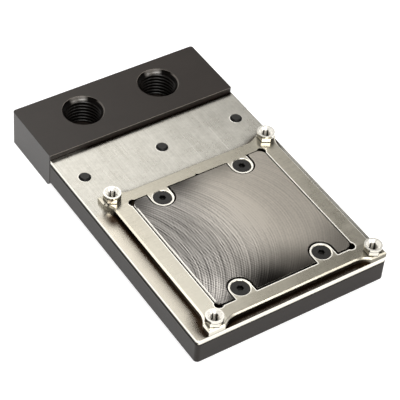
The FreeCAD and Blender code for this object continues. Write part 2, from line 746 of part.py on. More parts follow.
def standoff(corner):
    x, y = at(corner, "standoff_spacing")
    body = new_body("standoff_" + corner, x, y, FRAME_TOP)
    spigot = new_sketch(body, corner + "_spigot", height="-frame_thickness")
    circle(spigot, "0", "0", "spigot_bore")
    pad(body, spigot, "frame_thickness")
    head = new_sketch(body, corner + "_hexagon")
    hexagon(head, "0", "0", "standoff_across_flats")
    pad(body, head, "standoff_height - standoff_collar_height")
    collar = new_sketch(body, corner + "_collar", height="standoff_height - standoff_collar_height")
    circle(collar, "0", "0", "standoff_collar")
    pad(body, collar, "standoff_collar_height")

    bore = new_sketch(body, corner + "_bore", height="standoff_height")
    circle(bore, "0", "0", "standoff_bore")
    drilled = pocket(body, bore, "standoff_height + frame_thickness")
    chamfer_edges(body, drilled, "standoff_countersink",
                  lambda edge: rim_edge(edge, "standoff_height", "standoff_bore"))
    return body


# Fasteners. A screw is turned from its section and its socket is cut into the head.

def screw(name, section, socket, socket_depth, top):
    """Screw on its own axis, head up, from a section of (radius, height) points."""
    body = new_body(name)
    profile = new_sketch(body, name + "_section", "XZ_Plane")
    polygon(profile, section)
    turned(body, profile)
    recess = new_sketch(body, name + "_recess", height=top)
    hexagon(recess, "0", "0", socket)
    pocket(body, recess, socket_depth)
    return body


def cap_screw(name, thread, head, head_height, length, tip_chamfer, socket, socket_depth):
    """Cylinder head screw: the head's underside is at height 0 and the tip at minus the length."""
    section = [("0", head_height), (f"{head} / 2", head_height), (f"{head} / 2", "0"), (f"{thread} / 2", "0"),
               (f"{thread} / 2", f"{tip_chamfer} - ({length})"), (f"{thread} / 2 - {tip_chamfer}", f"-({length})"),
               ("0", f"-({length})")]
    return screw(name, section, socket, socket_depth, head_height)


def frame_screws():
    length = "(frame_thickness + plate_thickness - frame_screw_set_back - frame_screw_sink)"
    cone = "((frame_screw_head - frame_screw_thread) / 2)"
    section = [("0", "0"), ("frame_screw_head / 2", "0"), ("frame_screw_thread / 2", f"-{cone}"),
               ("frame_screw_thread / 2", f"-{length}"), ("0", f"-{length}")]
    template = screw("countersunk_screw", section, "frame_screw_socket", "frame_screw_socket_depth", "0")
    return copies("frame_screws", template, [(x, y, f"{FRAME_TOP} - frame_screw_sink") for x, y in FRAME_SCREWS])


def flipped(template):
    """The template turned over, head down."""
    feature = solid_feature(template.Name + "_head_down", template.Shape.copy())
    feature.Shape = feature.Shape.rotated(FreeCAD.Vector(), FreeCAD.Vector(1, 0, 0), 180)
    return feature


def body_screws(label, places, end):
    """Screws from the body's underside up into the plate, with their tips at the end height."""
    length = f"({end} - body_lift - body_screw_head_height)"
    template = cap_screw(label + "_screw", "body_screw_thread", "body_screw_head", "body_screw_head_height",
                         length, "screw_tip_chamfer", "body_screw_socket", "body_screw_socket_depth")
    height = "body_lift + body_screw_head_height"
    return copies(label, flipped(template), [(x, y, height) for x, y in places])


def terminal_screws():
    length = "(terminal_depth - terminal_screw_head_height + terminal_screw_grip)"
    template = cap_screw("terminal_screw", "terminal_screw_thread", "terminal_screw_head",
                         "terminal_screw_head_height", length, "screw_tip_chamfer",
                         "terminal_screw_socket", "terminal_screw_socket_depth")
    lying = solid_feature("terminal_screw_lying", template.Shape.copy())
    lying.Shape = lying.Shape.rotated(FreeCAD.Vector(), FreeCAD.Vector(1, 0, 0), -90)
    seat = f"{FAR_Y} - terminal_screw_head_height"
    return copies("terminal_screws", lying, [(x, seat, "terminal_screw_height") for x in TERMINAL_SCREWS])


# Seals and jet plate.

def main_seal():
    ring = band(seal_route(), "seal_bend", "seal_width", BODY_TOP, "seal_height")
    return solid_feature("main_seal", ring)


def slot_seal(label, side):
    return solid_feature(label, slot_seal_band(side, "slot_seal_width", "slot_seal_margin"))


def jet_outline(play, top, thickness):
    half_x = f"(jet_width / 2 + {play})"
    half_y = f"(jet_length / 2 + {play})"
    points = [(f"{CHIP_X} - {half_x}", f"{CHIP_Y} - {half_y}"), (f"{CHIP_X} + {half_x}", f"{CHIP_Y} - {half_y}"),
              (f"{CHIP_X} + {half_x}", f"{CHIP_Y} + {half_y}"), (f"{CHIP_X} - {half_x}", f"{CHIP_Y} + {half_y}")]
    return milled(points, f"(cutter_radius + {play})", top, thickness)


def jet_plate():
    sheet_metal = jet_outline("0", BODY_TOP, "jet_thickness")
    half_x = "(jet_slot_width / 2)"
    half_y = "(jet_slot_length / 2)"
    points = [(f"{CHIP_X} - {half_x}", f"{CHIP_Y} - {half_y}"), (f"{CHIP_X} + {half_x}", f"{CHIP_Y} - {half_y}"),
              (f"{CHIP_X} + {half_x}", f"{CHIP_Y} + {half_y}"), (f"{CHIP_X} - {half_x}", f"{CHIP_Y} + {half_y}")]
    slot = milled(points, "jet_slot_width / 3", BODY_TOP, "jet_thickness")
    return solid_feature("jet_plate", sheet_metal.cut(slot))


def check(item):
    if item.Shape.isNull() or not item.Shape.isValid():
        raise RuntimeError(f"{item.Label} has no valid shape")


pieces = [
    acetal_body(),
    terminal_block(),
    cold_plate(),
    mounting_frame(),
    frame_screws(),
    body_screws("body_screws_long", LONG_SCREWS, f"({PLATE_TOP} + long_screw_stand_out)"),
    body_screws("body_screws_short", SHORT_SCREWS, f"({PLATE_TOP} - short_screw_set_back)"),
    terminal_screws(),
    main_seal(),
    slot_seal("inlet_seal", -1),
    slot_seal("outlet_seal", 1),
    jet_plate(),
]
pieces += [standoff(corner) for corner in CORNERS]

doc.recompute()
for item in doc.Objects:
    if "Invalid" in item.State or "Error" in item.State:
        raise RuntimeError(f"{item.Label} failed: {item.State}")
for piece in pieces:
    check(piece)

os.makedirs("parts", exist_ok=True)
for piece in pieces:
    piece.Shape.exportStep(f"parts/{piece.Label}.step")
print(f"{len(pieces)} sub-parts written")
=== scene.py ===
import math

import bmesh
import bpy
from mathutils import Matrix, Vector


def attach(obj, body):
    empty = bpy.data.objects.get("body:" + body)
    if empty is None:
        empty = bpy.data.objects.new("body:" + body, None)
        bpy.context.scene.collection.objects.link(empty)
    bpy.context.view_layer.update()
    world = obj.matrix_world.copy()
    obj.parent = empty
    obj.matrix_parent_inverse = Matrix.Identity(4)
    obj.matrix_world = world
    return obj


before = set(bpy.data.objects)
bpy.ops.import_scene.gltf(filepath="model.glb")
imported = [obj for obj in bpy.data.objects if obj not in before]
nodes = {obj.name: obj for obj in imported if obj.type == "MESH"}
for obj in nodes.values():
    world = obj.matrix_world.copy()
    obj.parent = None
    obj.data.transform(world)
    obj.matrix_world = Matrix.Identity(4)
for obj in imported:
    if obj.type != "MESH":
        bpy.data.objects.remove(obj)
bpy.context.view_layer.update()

MM = 0.001

# Places, heights and sizes of the CAD in mm.
CHIP = Vector((1.75, -24.05))
PAD_HALF = 24.75
OPENING_HALF = 25.35
PLATE_FOOT = 9.65
PLATE_TOP = 11.65
FRAME_TOP = 13.65
PAD_TOP = 13.95
COLLAR_FOOT = 15.55
STANDOFF_TOP = 16.35
TERMINAL_TOP = 13.5
PORT_X = 14.5
PORT_Y = 45.25
MOUTH = 7.1


# Camera, as fitted to the photograph.

CAMERA_PLACE = Vector((-229.909, -312.256, 388.29))
CAMERA_AIM = Vector((0.424851, 0.569748, -0.703483))
CAMERA_ROLL = 5.380
LENS = 152.571
SENSOR = 36


def make_camera():
    forward = CAMERA_AIM.normalized()
    level = forward.cross(Vector((0, 0, 1))).normalized()
    rise = level.cross(forward)
    roll = math.radians(CAMERA_ROLL)
    right = level * math.cos(roll) + rise * math.sin(roll)
    up = right.cross(forward)
    turn = Matrix((right, up, -forward)).transposed().to_4x4()
    camera = bpy.data.objects.new("camera", bpy.data.cameras.new("camera"))
    camera.matrix_world = Matrix.Translation(CAMERA_PLACE * MM) @ turn
    camera.data.lens = LENS
    camera.data.sensor_width = SENSOR
    camera.data.sensor_fit = "HORIZONTAL"
    camera.data.clip_start = 0.01
    camera.data.clip_end = 50
    bpy.context.scene.collection.objects.link(camera)
    bpy.context.scene.camera = camera


# Material building.

# Nearly all of a noise texture's numbers lie between these.
NOISE_LOW, NOISE_HIGH = 0.3, 0.7


def rgb(red, green, blue):
    """Linear colour from 8-bit screen numbers."""
    parts = [c / 255 for c in (red, green, blue)]
    return [c / 12.92 if c <= 0.04045 else ((c + 0.055) / 1.055) ** 2.4 for c in parts] + [1.0]


class Nodes:
    """A node tree under construction: each call adds nodes and returns their output."""

    def __init__(self, tree):
        self.tree = tree
        tree.nodes.clear()

    def node(self, kind, settings=None, **inputs):
        node = self.tree.nodes.new(kind)
        for name, setting in (settings or {}).items():
            setattr(node, name, setting)
        for name, given in inputs.items():
            self.give(node.inputs[name.replace("_", " ")], given)
        return node

    def give(self, socket, given):
        if isinstance(given, bpy.types.NodeSocket):
            self.tree.links.new(given, socket)
        else:
            socket.default_value = given

    def math(self, operation, *values, clamp=False):
        node = self.node("ShaderNodeMath", {"operation": operation, "use_clamp": clamp})
        for socket, given in zip(node.inputs, values):
            self.give(socket, given)
        return node.outputs[0]

    def product(self, first, *others):
        for other in others:
            first = self.math("MULTIPLY", first, other)
        return first

    def total(self, first, *others):
        for other in others:
            first = self.math("ADD", first, other)
        return first

    def minus(self, first, second):
        return self.math("SUBTRACT", first, second)

    def highest(self, first, second):
        return self.math("MAXIMUM", first, second)

    def absolute(self, given):
        return self.math("ABSOLUTE", given)

    def length(self, first, second):
        """Length of a flat vector from its two parts."""
        return self.math("SQRT", self.total(self.product(first, first), self.product(second, second)))

    def between(self, given, low, high, to_low=0.0, to_high=1.0, smooth=False):
        """The number that goes from to_low to to_high while the given one goes from low to high."""
        kind = "SMOOTHSTEP" if smooth else "LINEAR"
        node = self.node("ShaderNodeMapRange", {"interpolation_type": kind})
        for name, number in (("Value", given), ("From Min", low), ("From Max", high),
                             ("To Min", to_low), ("To Max", to_high)):
            self.give(node.inputs[name], number)
        return node.outputs[0]

    def spread(self, noise, to_low, to_high):
        """A noise's numbers spread from to_low to to_high."""
        return self.between(noise, NOISE_LOW, NOISE_HIGH, to_low, to_high)

    def mix(self, share, first, second):
        """Number from first to second by the share."""
        return self.between(share, 0.0, 1.0, first, second)

    def blend(self, share, first, second, kind="RGBA"):
        """Colour, or vector, from first to second by the share."""
        node = self.node("ShaderNodeMix", {"data_type": kind})
        inputs = [socket for socket in node.inputs if socket.enabled]
        for socket, given in zip(inputs, (share, first, second)):
            self.give(socket, given)
        return next(socket for socket in node.outputs if socket.enabled)

    def blend_vector(self, share, first, second):
        return self.blend(share, first, second, "VECTOR")

    def combine(self, x, y, z):
        return self.node("ShaderNodeCombineXYZ", X=x, Y=y, Z=z).outputs[0]

    def parts(self, given):
        return self.node("ShaderNodeSeparateXYZ", Vector=given).outputs

    def vector(self, operation, *values):
        node = self.node("ShaderNodeVectorMath", {"operation": operation})
        for socket, given in zip(node.inputs, values):
            self.give(socket, given)
        return node.outputs["Value" if operation == "DOT_PRODUCT" else "Vector"]


class Shader(Nodes):
    """A material under construction. Lengths are in mm."""

    def __init__(self, name):
        self.material = bpy.data.materials.new(name)
        self.material.use_nodes = True
        super().__init__(self.material.node_tree)
        self.surface = self.node("ShaderNodeBsdfPrincipled")
        self.output = self.node("ShaderNodeOutputMaterial", Surface=self.surface.outputs[0])
        metres = self.node("ShaderNodeTexCoord").outputs["Object"]
        self.place = self.vector("MULTIPLY", metres, (1 / MM, 1 / MM, 1 / MM))
        self.x, self.y, self.z = self.parts(self.place)

    def set(self, **inputs):
        for name, given in inputs.items():
            self.give(self.surface.inputs[name.replace("_", " ")], given)

    def stretched(self, x, y, z):
        """The place, scaled along each axis."""
        return self.vector("MULTIPLY", self.place, (x, y, z))

    def noise(self, at, scale=1.0, detail=2.0, roughness=0.5):
        node = self.node("ShaderNodeTexNoise", Vector=at, Scale=scale, Detail=detail, Roughness=roughness)
        return node.outputs[0]

    def bump(self, height, distance, strength=1.0, normal=None):
        """Normal of a relief whose height is in shares of a distance in mm."""
        node = self.node("ShaderNodeBump", Height=height, Distance=distance * MM, Strength=strength)
        if normal is not None:
            self.give(node.inputs["Normal"], normal)
        return node.outputs[0]

    def crevice(self, reach):
        """1 in the open and lower close to a wall within reach mm."""
        return self.node("ShaderNodeAmbientOcclusion", {"samples": 12}, Distance=reach * MM).outputs["AO"]

    def edge_round(self, radius):
        """Normal with the edges rounded by a radius in mm."""
        return self.node("ShaderNodeBevel", {"samples": 6}, Radius=radius * MM).outputs[0]

    def facing(self):
        """Parts of the plain normal."""
        return self.parts(self.node("ShaderNodeNewGeometry").outputs["True Normal"])

    def level(self, facing):
        """1 on faces that look up, by the parts of their normal."""
        return self.between(facing[2], 0.8, 0.95)

    def from_port(self):
        """X and Y from the axis of the nearer port."""
        axis_x = self.product(self.math("SIGN", self.x), PORT_X)
        return self.minus(self.x, axis_x), self.minus(self.y, PORT_Y)

    def round_chip(self, half):
        """1 inside a square round the chip's middle, with a soft edge."""
        away_x = self.absolute(self.minus(self.x, CHIP.x))
        away_y = self.absolute(self.minus(self.y, CHIP.y))
        return self.between(self.highest(away_x, away_y), half + 0.3, half - 0.3)

    def patch(self, u, v, reach_u, reach_v):
        """1 at a place, measured from the chip's middle, falling softly to 0 round it."""
        du = self.math("DIVIDE", self.minus(self.x, CHIP.x + u), reach_u)
        dv = self.math("DIVIDE", self.minus(self.y, CHIP.y + v), reach_v)
        return self.between(self.length(du, dv), 1.0, 0.0, smooth=True)

    def scratch(self, start, end, width):
        """1 on a thin straight line between two places of the block, in mm."""
        start, end = Vector(start), Vector(end)
        length = (end - start).length
        along_x, along_y = (end - start) / length
        dx, dy = self.minus(self.x, start.x), self.minus(self.y, start.y)
        along = self.total(self.product(dx, along_x), self.product(dy, along_y))
        aside = self.minus(self.product(dx, along_y), self.product(dy, along_x))
        inside = self.product(self.between(along, 0.0, 1.5, smooth=True),
                              self.between(along, length, length - 1.5, smooth=True))
        return self.product(inside, self.between(self.absolute(aside), width, 0.0))


# Plated pieces.

# Painted highlight: rounded edges of the plated pieces catch the pale wall behind the block.
RIM_HIGHLIGHT = rgb(252, 249, 242)
RIM_NORMAL = Vector((-0.21, 0.08, 0.975)).normalized()

# Darkest and palest tones of the milling lines on each piece.
PLATE_TONES = rgb(196, 193, 184), rgb(240, 237, 229)
FRAME_TONES = rgb(205, 199, 184), rgb(240, 234, 219)
# Tones of the pad in its shade, on its left and on its right.
PAD_SHADE = rgb(12, 9, 7)
PAD_LEFT = rgb(226, 221, 216)
PAD_RIGHT = rgb(224, 216, 205)
# Painted light and shade where the plate and the frame look paler or darker than their milling lines.
STRIP_PAINTED_LIGHT = rgb(254, 245, 228)
PLATE_SHADE = rgb(170, 167, 160)
FOOT_PAINTED_SHADE = rgb(52, 39, 28)
PLATE_WALL_PAINTED_LIGHT = rgb(250, 246, 234)
WALL_FOOT_PAINTED_SHADE = rgb(44, 40, 37)
FRAME_WALL_PAINTED_REFLECTION = rgb(24, 19, 16)
FRAME_SHADE = rgb(170, 164, 148)
FRAME_PAINTED_LIGHT = rgb(254, 249, 234)

# Start, end and width in mm of the long scratches on the cold plate.
PLATE_SCRATCHES = (
    ((18.7, 20.5), (18.5, 6.8), 0.24),
    ((8.9, 23.0), (8.6, 8.0), 0.12),
    ((17.2, 29.0), (17.8, 17.0), 0.10),
    ((3.0, 26.0), (2.8, 9.0), 0.08),
)

# Radius in mm of the arcs that the fly cutter left while it fed along X, and its feed for each turn.
CUTTER_RADIUS = 33.0
FEED = 0.92

# Places on the pad where a reflection is painted, their reaches in mm and how much lighter or darker each
# is.
PAD_PAINTED_REFLECTIONS = (
    (-3.0, -28.0, 19.0, 21.0, -1.0),
    (9.0, -29.0, 17.0, 19.0, -0.95),
    (24.0, -22.0, 12.0, 16.0, -0.50),
    (-7.5, -25.0, 12.0, 11.0, -0.9),
    (-19.5, -24.5, 3.5, 3.5, -0.75),
    (-24.0, 24.0, 9.0, 10.0, -0.72),
    (-27.0, 10.0, 8.0, 18.0, -0.28),
    (-8.0, 26.0, 15.0, 11.0, -0.86),
    (8.0, 26.0, 13.0, 9.0, -0.50),
    (-22.0, -18.5, 6.0, 8.0, 0.75),
    (0.0, 2.0, 15.0, 20.0, 0.34),
)


class MilledNickel(Shader):
    """Satin nickel over straight milling lines, which both plated pieces start from."""

    def __init__(self, name, tones, lines_along_y, scratches=()):
        super().__init__(name)
        across, along = (5.0, 0.05) if lines_along_y else (0.05, 5.0)
        lines = self.noise(self.stretched(across, along, 1.0), 1.0, 3.0, 0.6)
        wide = self.noise(self.stretched(across * 0.2, along, 0.3))
        cloud = self.noise(self.place, 0.13, 5.0, 0.65)
        mottle = self.noise(self.place, 0.9, 4.0, 0.7)
        tone = self.total(self.spread(lines, -0.08, 0.08), self.spread(cloud, -0.11, 0.11),
                          self.spread(wide, -0.03, 0.03), self.spread(mottle, -0.08, 0.08))
        for start, end, width in scratches:
            tone = self.total(tone, self.product(self.scratch(start, end, width), 0.3))
        self.colour = self.blend(self.between(tone, -0.2, 0.2), *tones)
        self.roughness = self.spread(cloud, 0.25, 0.33)
        self.plain_normal = self.facing()
        level = self.level(self.plain_normal)
        height = self.total(self.product(lines, 0.6), self.product(mottle, 0.15))
        self.edge = self.edge_round(0.25)
        self.normal = self.bump(height, 0.006, level, self.edge)
        across_lines = (1.0, 0.0, 0.0) if lines_along_y else (0.0, 1.0, 0.0)
        self.tangent = self.blend_vector(level, (0.0, 0.0, 1.0), across_lines)

    def tint(self, share, colour):
        self.colour = self.blend(share, self.colour, colour)

    def lean(self, share):
        """Turn the normal to where the rims' light comes from."""
        self.normal = self.blend_vector(share, self.normal, RIM_NORMAL)

    # Paints the rims' highlight and turns the normal towards its light.
    def rim(self, share):
        self.tint(share, RIM_HIGHLIGHT)
        self.lean(share)

    def wall(self, high, low):
        """1 on steep faces below a height."""
        steep = self.between(self.absolute(self.plain_normal[2]), 0.69, 0.5)
        return self.product(steep, self.between(self.z, high, low))

    def done(self):
        self.set(Base_Color=self.colour, Roughness=self.roughness, Normal=self.normal,
                 Tangent=self.tangent, Metallic=1.0, Anisotropic=0.3)
        return self.material


def pad_surface(shader):
    """Colour, roughness, normal and tangent of the fly-cut pad."""
    # The cutter's leading and trailing edges leave two families of arcs.
    offset = shader.minus(shader.y, CHIP.y)
    rise = shader.math("SQRT", shader.minus(CUTTER_RADIUS ** 2, shader.product(offset, offset)))
    leading = shader.minus(shader.x, rise)
    trailing = shader.total(shader.x, rise)
    run = shader.product(shader.y, 0.05)
    left = shader.between(shader.x, -20.0, 12.0, 1.0, 0.0, smooth=True)

    def lines(across, density, along, seed):
        """Uneven scratches that follow the arcs."""
        at = shader.combine(shader.product(across, density), shader.product(run, along), seed)
        return shader.spread(shader.noise(at, roughness=0.6), -0.5, 0.5)

    def feed_marks(across, seed):
        """Even ridges, a feed apart, that wander a little and fade in and out."""
        drift = shader.noise(shader.combine(shader.product(across, 0.35), run, seed))
        phase = shader.total(shader.product(across, 2 * math.pi / FEED), shader.product(drift, 9.0))
        depth = shader.noise(shader.combine(shader.product(across, 0.6), run, seed + 5.0), detail=3.0)
        return shader.product(shader.math("SINE", phase), shader.between(depth, 0.35, 0.65, 0.15, 0.6))

    broad = lines(leading, 0.5, 0.6, 0.0)
    main = shader.total(feed_marks(leading, 4.0), lines(leading, 1.5, 0.8, 4.0))
    fine = lines(leading, 2.6, 2.0, 8.0)
    speck = shader.spread(shader.noise(shader.place, 1.6, 3.0, 0.6), -0.5, 0.5)
    # The trailing arcs show on the left, where they cross the leading ones, and fade to the back.
    to_back = shader.between(shader.y, CHIP.y - 4.0, CHIP.y + 14.0, 1.0, 0.25, smooth=True)
    cross = shader.product(feed_marks(trailing, 12.0), left, to_back)
    arcs = shader.total(shader.product(broad, 0.30), shader.product(main, 0.62),
                        shader.product(fine, 0.34))
    arcs = shader.product(arcs, shader.mix(left, 0.22, 1.05))
    arcs = shader.total(arcs, shader.product(cross, 0.6), shader.product(speck, 0.14))

    # Painted reflections: the pad's tone is lower on its left and is raised or lowered at the listed
    # places.
    tone = shader.mix(left, 0.85, 0.52)
    for u, v, reach_u, reach_v, share in PAD_PAINTED_REFLECTIONS:
        weight = shader.product(shader.patch(u, v, reach_u, reach_v), share)
        tone = shader.product(tone, shader.total(weight, 1.0))
    tone = shader.math("MULTIPLY", tone, shader.total(arcs, 1.0), clamp=True)
    colour = shader.blend(tone, PAD_SHADE, shader.blend(left, PAD_RIGHT, PAD_LEFT))
    roughness = shader.between(arcs, -0.6, 0.6, 0.34, 0.27)
    normal = shader.bump(arcs, 0.03, 1.0, shader.edge)

    # A painted highlight runs along the pad's left edge.
    edge_x, corner_y = CHIP.x - PAD_HALF, CHIP.y + 21.6
    pad_edge_highlight = shader.product(shader.between(shader.x, edge_x + 0.28, edge_x + 0.18),
                          shader.between(shader.y, corner_y, corner_y - 0.6))
    colour = shader.blend(pad_edge_highlight, colour, RIM_HIGHLIGHT)
    normal = shader.blend_vector(pad_edge_highlight, normal, RIM_NORMAL)
    tangent = shader.vector("NORMALIZE", shader.combine(rise, offset, 0.0))
    return colour, roughness, normal, tangent


def cold_plate_nickel():
    shader = MilledNickel("nickel_cold_plate", PLATE_TONES, True, PLATE_SCRATCHES)
    x, y, z = shader.x, shader.y, shader.z
    looks_left = shader.plain_normal[0]

    # Painted light on the strip left of the frame, brighter than the plate behind it, and painted shade
    # on the plate to the back right.
    left = shader.between(x, -21.0, -27.0)
    beside_frame = shader.between(y, 3.5, 0.0)
    shader.tint(shader.product(left, beside_frame, 0.7), STRIP_PAINTED_LIGHT)
    back_right = shader.product(shader.between(x, -5.0, 30.0), shader.between(y, 14.0, 22.0))
    shader.tint(shader.product(back_right, 0.34), PLATE_SHADE)

    # Painted shade and dark reflection at the frame's foot, deeper close to its walls: broad on the left,
    # with a soft end behind the ear, and slight elsewhere.
    open_sky = shader.crevice(7.0)
    deep = shader.product(shader.between(open_sky, 0.965, 0.83, smooth=True), beside_frame)
    deep = shader.highest(deep, shader.patch(-33.0, 22.3, 4.2, 5.5))
    front = shader.between(y, CHIP.y - 30.0, CHIP.y - 31.0)
    slight = shader.between(open_sky, shader.mix(front, 0.86, 0.97), shader.mix(front, 0.74, 0.90),
                            smooth=True)
    below_pad = shader.between(z, PAD_TOP - 0.85, PAD_TOP - 1.15)
    shader.tint(shader.product(shader.mix(left, slight, deep), below_pad), FOOT_PAINTED_SHADE)

    # Painted light on the plate's outer walls, with a painted shade line at their foot on the left.
    foot = shader.product(shader.between(looks_left, -0.5, -0.8),
                          shader.between(z, PLATE_FOOT + 1.05, PLATE_FOOT + 0.75))
    shader.tint(shader.wall(PLATE_TOP + 0.05, PLATE_TOP - 0.05),
                shader.blend(foot, PLATE_WALL_PAINTED_LIGHT, WALL_FOOT_PAINTED_SHADE))

    # Painted highlights on the rims at the holes beside the terminal, and along the top of the pad's left
    # wall.
    tilt = shader.parts(shader.edge_round(0.5))
    shader.rim(shader.product(shader.between(tilt[0], 0.06, 0.2), shader.between(y, 12.0, 13.0),
                              shader.between(x, 32.0, 31.0)))
    pad_left = CHIP.x - PAD_HALF
    shader.rim(shader.product(shader.between(looks_left, -0.6, -0.8),
                              shader.between(z, PAD_TOP - 0.70, PAD_TOP - 0.55),
                              shader.between(x, pad_left + 2.5, pad_left + 2.0)))

    on_pad = shader.math("GREATER_THAN", z, PAD_TOP - 0.06)
    colour, roughness, normal, tangent = pad_surface(shader)
    shader.tint(on_pad, colour)
    shader.roughness = shader.mix(on_pad, shader.roughness, roughness)
    shader.normal = shader.blend_vector(on_pad, shader.normal, normal)
    shader.tangent = shader.blend_vector(on_pad, shader.tangent, tangent)
    return shader.done()


def frame_nickel():
    shader = MilledNickel("nickel_frame", FRAME_TONES, False)
    x, y, z = shader.x, shader.y, shader.z
    front, back, left = CHIP.y - OPENING_HALF, CHIP.y + OPENING_HALF, CHIP.x - OPENING_HALF

    # Painted reflection: the walls are coloured dark as if reflecting the gap beside them, apart from the
    # back left ear's. So is the opening's back wall, right up to its edge.
    ear = shader.product(shader.between(y, 0.5, 2.5), shader.between(x, -20.0, -24.0))
    wall = shader.product(shader.wall(FRAME_TOP - 0.45, FRAME_TOP - 0.7), shader.minus(1.0, ear))
    opening = shader.product(shader.between(shader.plain_normal[1], -0.5, -0.7),
                             shader.between(y, back - 0.45, back - 0.15),
                             shader.between(y, back + 0.95, back + 0.75),
                             shader.between(z, FRAME_TOP - 0.01, FRAME_TOP - 0.04))
    shader.tint(shader.highest(wall, opening), FRAME_WALL_PAINTED_REFLECTION)

    # Painted shade on the front and back bars, and painted light on the left one, paler to the front.
    front_bar = shader.product(shader.between(y, front + 0.25, front - 0.25),
                               shader.between(x, -25.0, 20.0, 0.2, 0.5))
    back_bar = shader.between(y, back - 0.25, back + 0.25, 0.0, 0.28)
    shader.tint(shader.total(front_bar, back_bar), FRAME_SHADE)
    left_bar = shader.product(shader.between(x, left + 0.45, left - 0.05),
                              shader.between(y, -8.0, -50.0, 0.0, 0.75))
    shader.tint(left_bar, FRAME_PAINTED_LIGHT)

    # Painted highlight on the rim round the opening, and light on the chamfer that slopes to the left.
    tilt = shader.parts(shader.edge_round(0.6))
    rim = shader.product(shader.between(tilt[2], 0.998, 0.985), shader.round_chip(28.0),
                         shader.between(z, FRAME_TOP - 0.06, FRAME_TOP - 0.03),
                         shader.between(y, back - 0.45, back - 0.75))
    slope = shader.product(shader.between(shader.plain_normal[0], -0.5, -0.6),
                           shader.between(shader.plain_normal[2], 0.66, 0.69))
    shader.lean(shader.highest(rim, slope))
    shader.tint(rim, RIM_HIGHLIGHT)
    return shader.done()


POLISHED_TONES = rgb(226, 221, 208), rgb(244, 240, 230)
BOWL_TONE = rgb(250, 247, 240)
BORE_PAINTED_PALE = rgb(254, 250, 242)
BORE_PAINTED_BAR = rgb(30, 24, 18)
STANDOFF_PAINTED_SHADOW = rgb(22, 17, 12)
# Where the standoffs' bore and bowl end and their outside starts, in shares of their width.
BORE = (0.29, 0.25)
BOWL = (0.41, 0.39)
OUTSIDE = (0.40, 0.42)


def polished_nickel():
    shader = Shader("polished_nickel")
    rings = shader.noise(shader.stretched(0.4, 0.4, 9.0))
    smear = shader.noise(shader.place, 0.8, 3.0)
    colour = shader.blend(smear, *POLISHED_TONES)
    normal = shader.bump(rings, 0.004, 1.0, shader.edge_round(0.12))
    span = shader.parts(shader.node("ShaderNodeTexCoord").outputs["Generated"])
    across, ahead = shader.minus(span[0], 0.5), shader.minus(span[1], 0.5)
    away = shader.length(across, ahead)

    # Painted reflection: the bore is coloured as if it mirrored a pale wall with two dark bars, seen
    # across the line of sight.
    bore = shader.between(away, *BORE)
    aside = shader.minus(shader.product(across, 0.80), shader.product(ahead, 0.60))
    aside = shader.total(aside, shader.spread(smear, -0.02, 0.02))
    left_bar = shader.between(shader.absolute(shader.total(aside, 0.13)), 0.05, 0.03)
    right_bar = shader.between(shader.absolute(shader.minus(aside, 0.10)), 0.075, 0.045)
    bars = shader.highest(left_bar, right_bar)
    top = shader.between(shader.z, STANDOFF_TOP - 0.04, STANDOFF_TOP - 0.01, 0.0, 0.7)
    bowl = shader.highest(shader.between(away, *BOWL), top)
    colour = shader.blend(bowl, colour, BOWL_TONE)
    colour = shader.blend(bore, colour, shader.blend(bars, BORE_PAINTED_PALE, BORE_PAINTED_BAR))

    # Painted shadow lines under the collar and where the hexagon stands on the frame.
    under_collar = shader.between(shader.absolute(shader.minus(shader.z, COLLAR_FOOT)), 0.22, 0.13)
    foot = shader.between(shader.z, FRAME_TOP + 0.34, FRAME_TOP + 0.22)
    painted_shadow_line = shader.product(shader.between(away, *OUTSIDE), shader.highest(under_collar, foot))
    colour = shader.blend(painted_shadow_line, colour, STANDOFF_PAINTED_SHADOW)
    shader.set(Base_Color=colour, Roughness=shader.mix(bore, shader.spread(smear, 0.05, 0.12), 0.35),
               Normal=normal, Metallic=shader.mix(bowl, 1.0, 0.25))
    return shader.material


# Black and inner pieces.

ACETAL_TONES = rgb(33, 28, 25), rgb(46, 40, 36)
ACETAL_EDGE_HIGHLIGHT = rgb(138, 130, 122)
THREAD_SHADE = rgb(12, 10, 8)
THREAD_ROOT_SHADE = rgb(6, 5, 4)
MOUTH_SHADE = rgb(9, 7, 6)
MOUTH_GLEAM = rgb(92, 87, 82)
STEEL_TONES = rgb(13, 12, 11), rgb(33, 31, 29)
STEEL_SHADE = rgb(12, 11, 11)
RUBBER_TONES = rgb(18, 18, 18), rgb(34, 33, 33)
STAINLESS_TONES = rgb(196, 195, 193), rgb(214, 213, 211)


